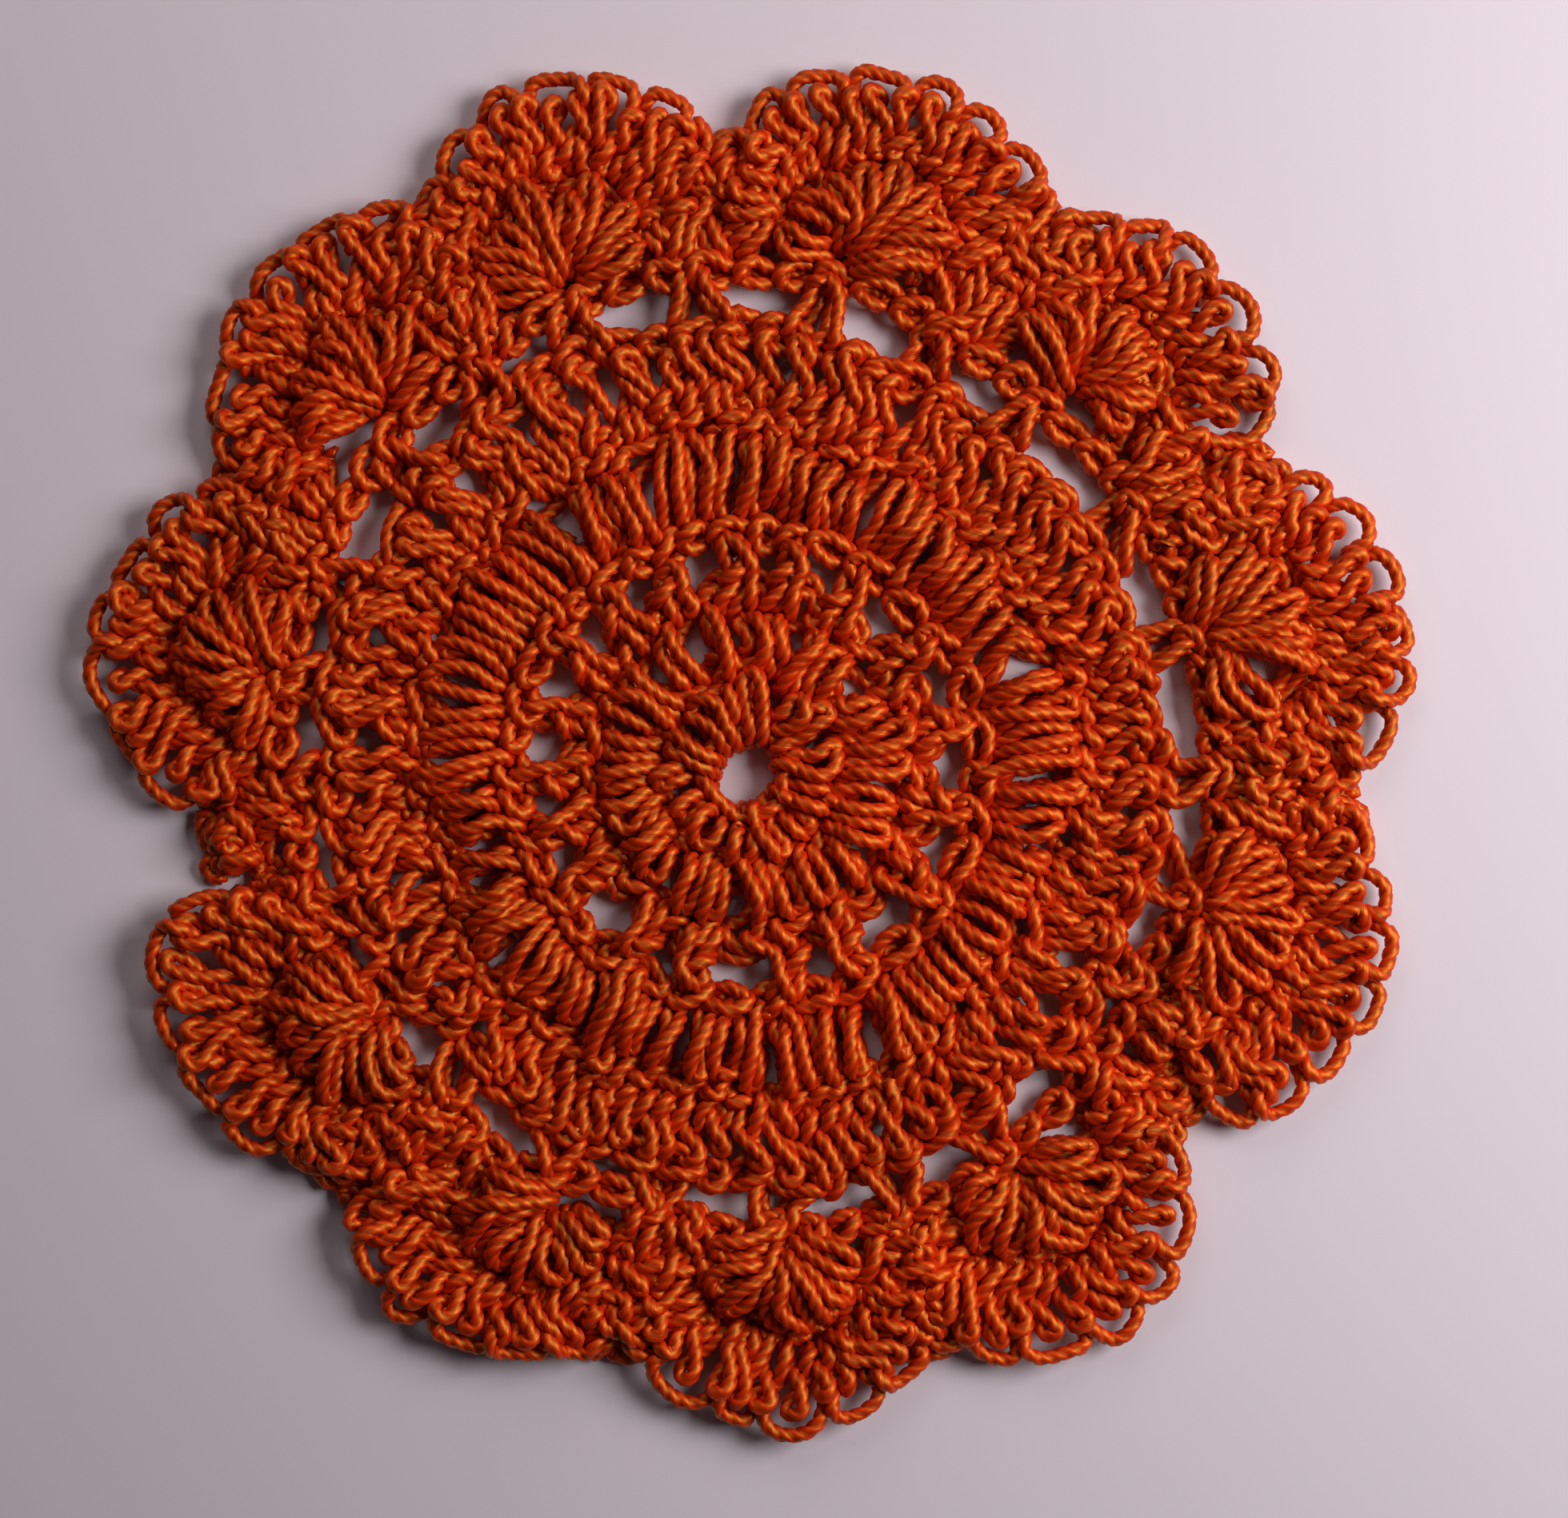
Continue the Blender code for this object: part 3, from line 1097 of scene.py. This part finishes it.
def add_area_light(name, light, power):
    """A square soft light that faces the middle of the table."""
    place, size, colour = light
    data = bpy.data.lights.new(name, "AREA")
    data.size = size
    data.energy = power
    data.color = linear(colour)[:3]
    made = bpy.data.objects.new(name, data)
    made.location = place
    made.rotation_euler = Vector(place).to_track_quat("Z", "Y").to_euler()
    bpy.context.scene.collection.objects.link(made)


def add_sky(stage):
    """Even light from all round."""
    world = bpy.data.worlds.new("studio")
    world.use_nodes = True
    sky = world.node_tree.nodes["Background"]
    sky.inputs["Color"].default_value = linear(SKY_COLOUR)
    sky.inputs["Strength"].default_value = stage.sky_strength
    bpy.context.scene.world = world


def add_camera(stage):
    """Camera straight above the table, far enough for the photograph's width."""
    data = bpy.data.cameras.new("camera")
    data.sensor_width = SENSOR_MM
    data.lens = stage.focal_length
    data.clip_start = CLIP_START_M
    made = bpy.data.objects.new("camera", data)
    rise = VIEW_WIDTH_M * data.lens / SENSOR_MM
    made.location = (VIEW_X_M, VIEW_Y_M, VIEW_Z_M + rise)
    bpy.context.scene.collection.objects.link(made)
    bpy.context.scene.camera = made


# Settings

class YarnSettings(bpy.types.PropertyGroup):
    thickness: FloatProperty(
        name="Thickness",
        description="Diameter of the three-ply yarn",
        default=0.0012,
        min=0.0005,
        max=0.002,
        precision=5,
        unit="LENGTH",
    )
    ply_turn: FloatProperty(
        name="Ply turn",
        description="Length of yarn in which the plies go round once",
        default=0.0033,
        min=0.001,
        precision=5,
        unit="LENGTH",
    )
    colour: FloatVectorProperty(
        name="Colour",
        description="Colour of the yarn on the crests of its plies",
        size=4,
        min=0.0,
        max=1.0,
        default=linear("#DB2303"),
        subtype="COLOR",
    )
    # Painted shade, deep red-brown in the grooves where two plies meet
    groove_shade_colour: FloatVectorProperty(
        name="Groove shade",
        description="Painted shade where two plies meet",
        size=4,
        min=0.0,
        max=1.0,
        default=linear("#7E0200"),
        subtype="COLOR",
    )


class FabricSettings(bpy.types.PropertyGroup):
    unevenness: FloatProperty(
        name="Unevenness",
        description="How far the stitches stray, as in handwork",
        default=0.00034,
        min=0.0,
        precision=5,
        unit="LENGTH",
    )
    middle: FloatProperty(
        name="Middle",
        description="Height of the middle of the fabric above the table",
        default=0.0015,
        min=0.0,
        precision=5,
        unit="LENGTH",
    )
    spacing: FloatProperty(
        name="Point spacing",
        description="Distance between the points of a yarn",
        default=0.000394,
        min=0.0002,
        precision=6,
        unit="LENGTH",
    )
    closeness: FloatProperty(
        name="Closeness",
        description="Distance of two touching yarns, in diameters",
        default=0.88,
        min=0.5,
        max=1.0,
        subtype="FACTOR",
    )
    settling: IntProperty(
        name="Settling",
        description="Rounds in which crossing yarns push each other apart",
        default=22,
        min=1,
    )


class StageSettings(bpy.types.PropertyGroup):
    key_power: FloatProperty(
        name="Key light",
        description="Power of the soft light at the right",
        default=0.82,
        min=0.0,
        unit="POWER",
    )
    fill_power: FloatProperty(
        name="Fill light",
        description="Power of the soft light at the far side",
        default=0.26,
        min=0.0,
        unit="POWER",
    )
    sky_strength: FloatProperty(
        name="Room light",
        description="Strength of the even light from all round",
        default=0.027,
        min=0.0,
    )
    floor_colour: FloatVectorProperty(
        name="Floor",
        description="Colour of the plain pale floor",
        size=4,
        min=0.0,
        max=1.0,
        default=linear("#DCD2DB"),
        subtype="COLOR",
    )
    focal_length: FloatProperty(
        name="Lens",
        description="Focal length of the camera",
        default=70.0,
        min=20.0,
        unit="CAMERA",
    )


class Sizes(NamedTuple):
    """Sizes that the yarn is laid with, in millimetres."""

    yarn_mm: float
    twist_mm: float
    uneven_mm: float
    middle_mm: float
    step_mm: float
    packing: float
    rounds: int


def sizes_in_mm(scene):
    yarn, fabric = scene.crochet_yarn, scene.crochet_fabric
    return Sizes(
        yarn.thickness / MM,
        yarn.ply_turn / MM,
        fabric.unevenness / MM,
        fabric.middle / MM,
        fabric.spacing / MM,
        fabric.closeness,
        fabric.settling,
    )


# Operators

class CROCHET_OT_centre(bpy.types.Operator):
    """Lay the ring of yarn in the middle and the two rounds of stitches about it"""

    bl_idname = "crochet.centre"
    bl_label = "Centre"

    def execute(self, context):
        lay_pieces(context, "centre_ring", "centre_rounds")
        return {"FINISHED"}


class CROCHET_OT_open_round(bpy.types.Operator):
    """Lay the third round, whose posts stand apart under chains"""

    bl_idname = "crochet.open_round"
    bl_label = "Open round"

    def execute(self, context):
        lay_pieces(context, "open_round")
        return {"FINISHED"}


class CROCHET_OT_dense_rounds(bpy.types.Operator):
    """Lay the two close rounds of the body"""

    bl_idname = "crochet.dense_rounds"
    bl_label = "Dense rounds"

    def execute(self, context):
        lay_pieces(context, "dense_inner_round", "dense_outer_round")
        return {"FINISHED"}


class CROCHET_OT_loop_round(bpy.types.Operator):
    """Lay the posts and chains round the open loops that carry the fans"""

    bl_idname = "crochet.loop_round"
    bl_label = "Loop round"

    def execute(self, context):
        lay_pieces(context, "loop_round")
        return {"FINISHED"}


class CROCHET_OT_valleys(bpy.types.Operator):
    """Lay the clusters of stitches that join each fan to the next"""

    bl_idname = "crochet.valleys"
    bl_label = "Valleys"

    def execute(self, context):
        lay_pieces(context, "valley_stitches")
        return {"FINISHED"}


class CROCHET_OT_fans(bpy.types.Operator):
    """Lay the eleven fans: posts, the short stitches round them and the rim's loops"""

    bl_idname = "crochet.fans"
    bl_label = "Fans"

    def execute(self, context):
        lay_pieces(context, "fan_posts", "fan_short_stitches", "fan_rims")
        return {"FINISHED"}


class CROCHET_OT_stage(bpy.types.Operator):
    """Add the floor, the soft lights and the camera above the table"""

    bl_idname = "crochet.stage"
    bl_label = "Stage"

    def execute(self, context):
        stage = context.scene.crochet_stage
        add_floor(stage)
        add_camera(stage)
        add_area_light("key_light", KEY_LIGHT, stage.key_power)
        add_area_light("fill_light", FILL_LIGHT, stage.fill_power)
        add_sky(stage)
        # Keeps the yarn's strong orange, which the filmic transforms turn pale
        context.scene.view_settings.view_transform = "Standard"
        return {"FINISHED"}


OPERATORS = (
    CROCHET_OT_centre,
    CROCHET_OT_open_round,
    CROCHET_OT_dense_rounds,
    CROCHET_OT_loop_round,
    CROCHET_OT_valleys,
    CROCHET_OT_fans,
    CROCHET_OT_stage,
)


class CROCHET_PT_coaster(bpy.types.Panel):
    bl_label = "Crochet coaster"
    bl_space_type = "VIEW_3D"
    bl_region_type = "UI"
    bl_category = "Crochet"

    def draw(self, context):
        layout = self.layout
        layout.use_property_split = True
        scene = context.scene
        for settings in (scene.crochet_yarn, scene.crochet_fabric, scene.crochet_stage):
            box = layout.box()
            for name in type(settings).__annotations__:
                box.prop(settings, name)
        for operator in OPERATORS:
            layout.operator(operator.bl_idname)


CLASSES = (YarnSettings, FabricSettings, StageSettings, *OPERATORS, CROCHET_PT_coaster)


def register():
    for item in CLASSES:
        bpy.utils.register_class(item)
    bpy.types.Scene.crochet_yarn = PointerProperty(type=YarnSettings)
    bpy.types.Scene.crochet_fabric = PointerProperty(type=FabricSettings)
    bpy.types.Scene.crochet_stage = PointerProperty(type=StageSettings)


def unregister():
    del bpy.types.Scene.crochet_stage
    del bpy.types.Scene.crochet_fabric
    del bpy.types.Scene.crochet_yarn
    for item in reversed(CLASSES):
        bpy.utils.unregister_class(item)


def main():
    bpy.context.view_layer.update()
    register()
    bpy.ops.crochet.centre()
    bpy.ops.crochet.open_round()
    bpy.ops.crochet.dense_rounds()
    bpy.ops.crochet.loop_round()
    bpy.ops.crochet.valleys()
    bpy.ops.crochet.fans()
    bpy.ops.crochet.stage()


if __name__ == "__main__":
    main()
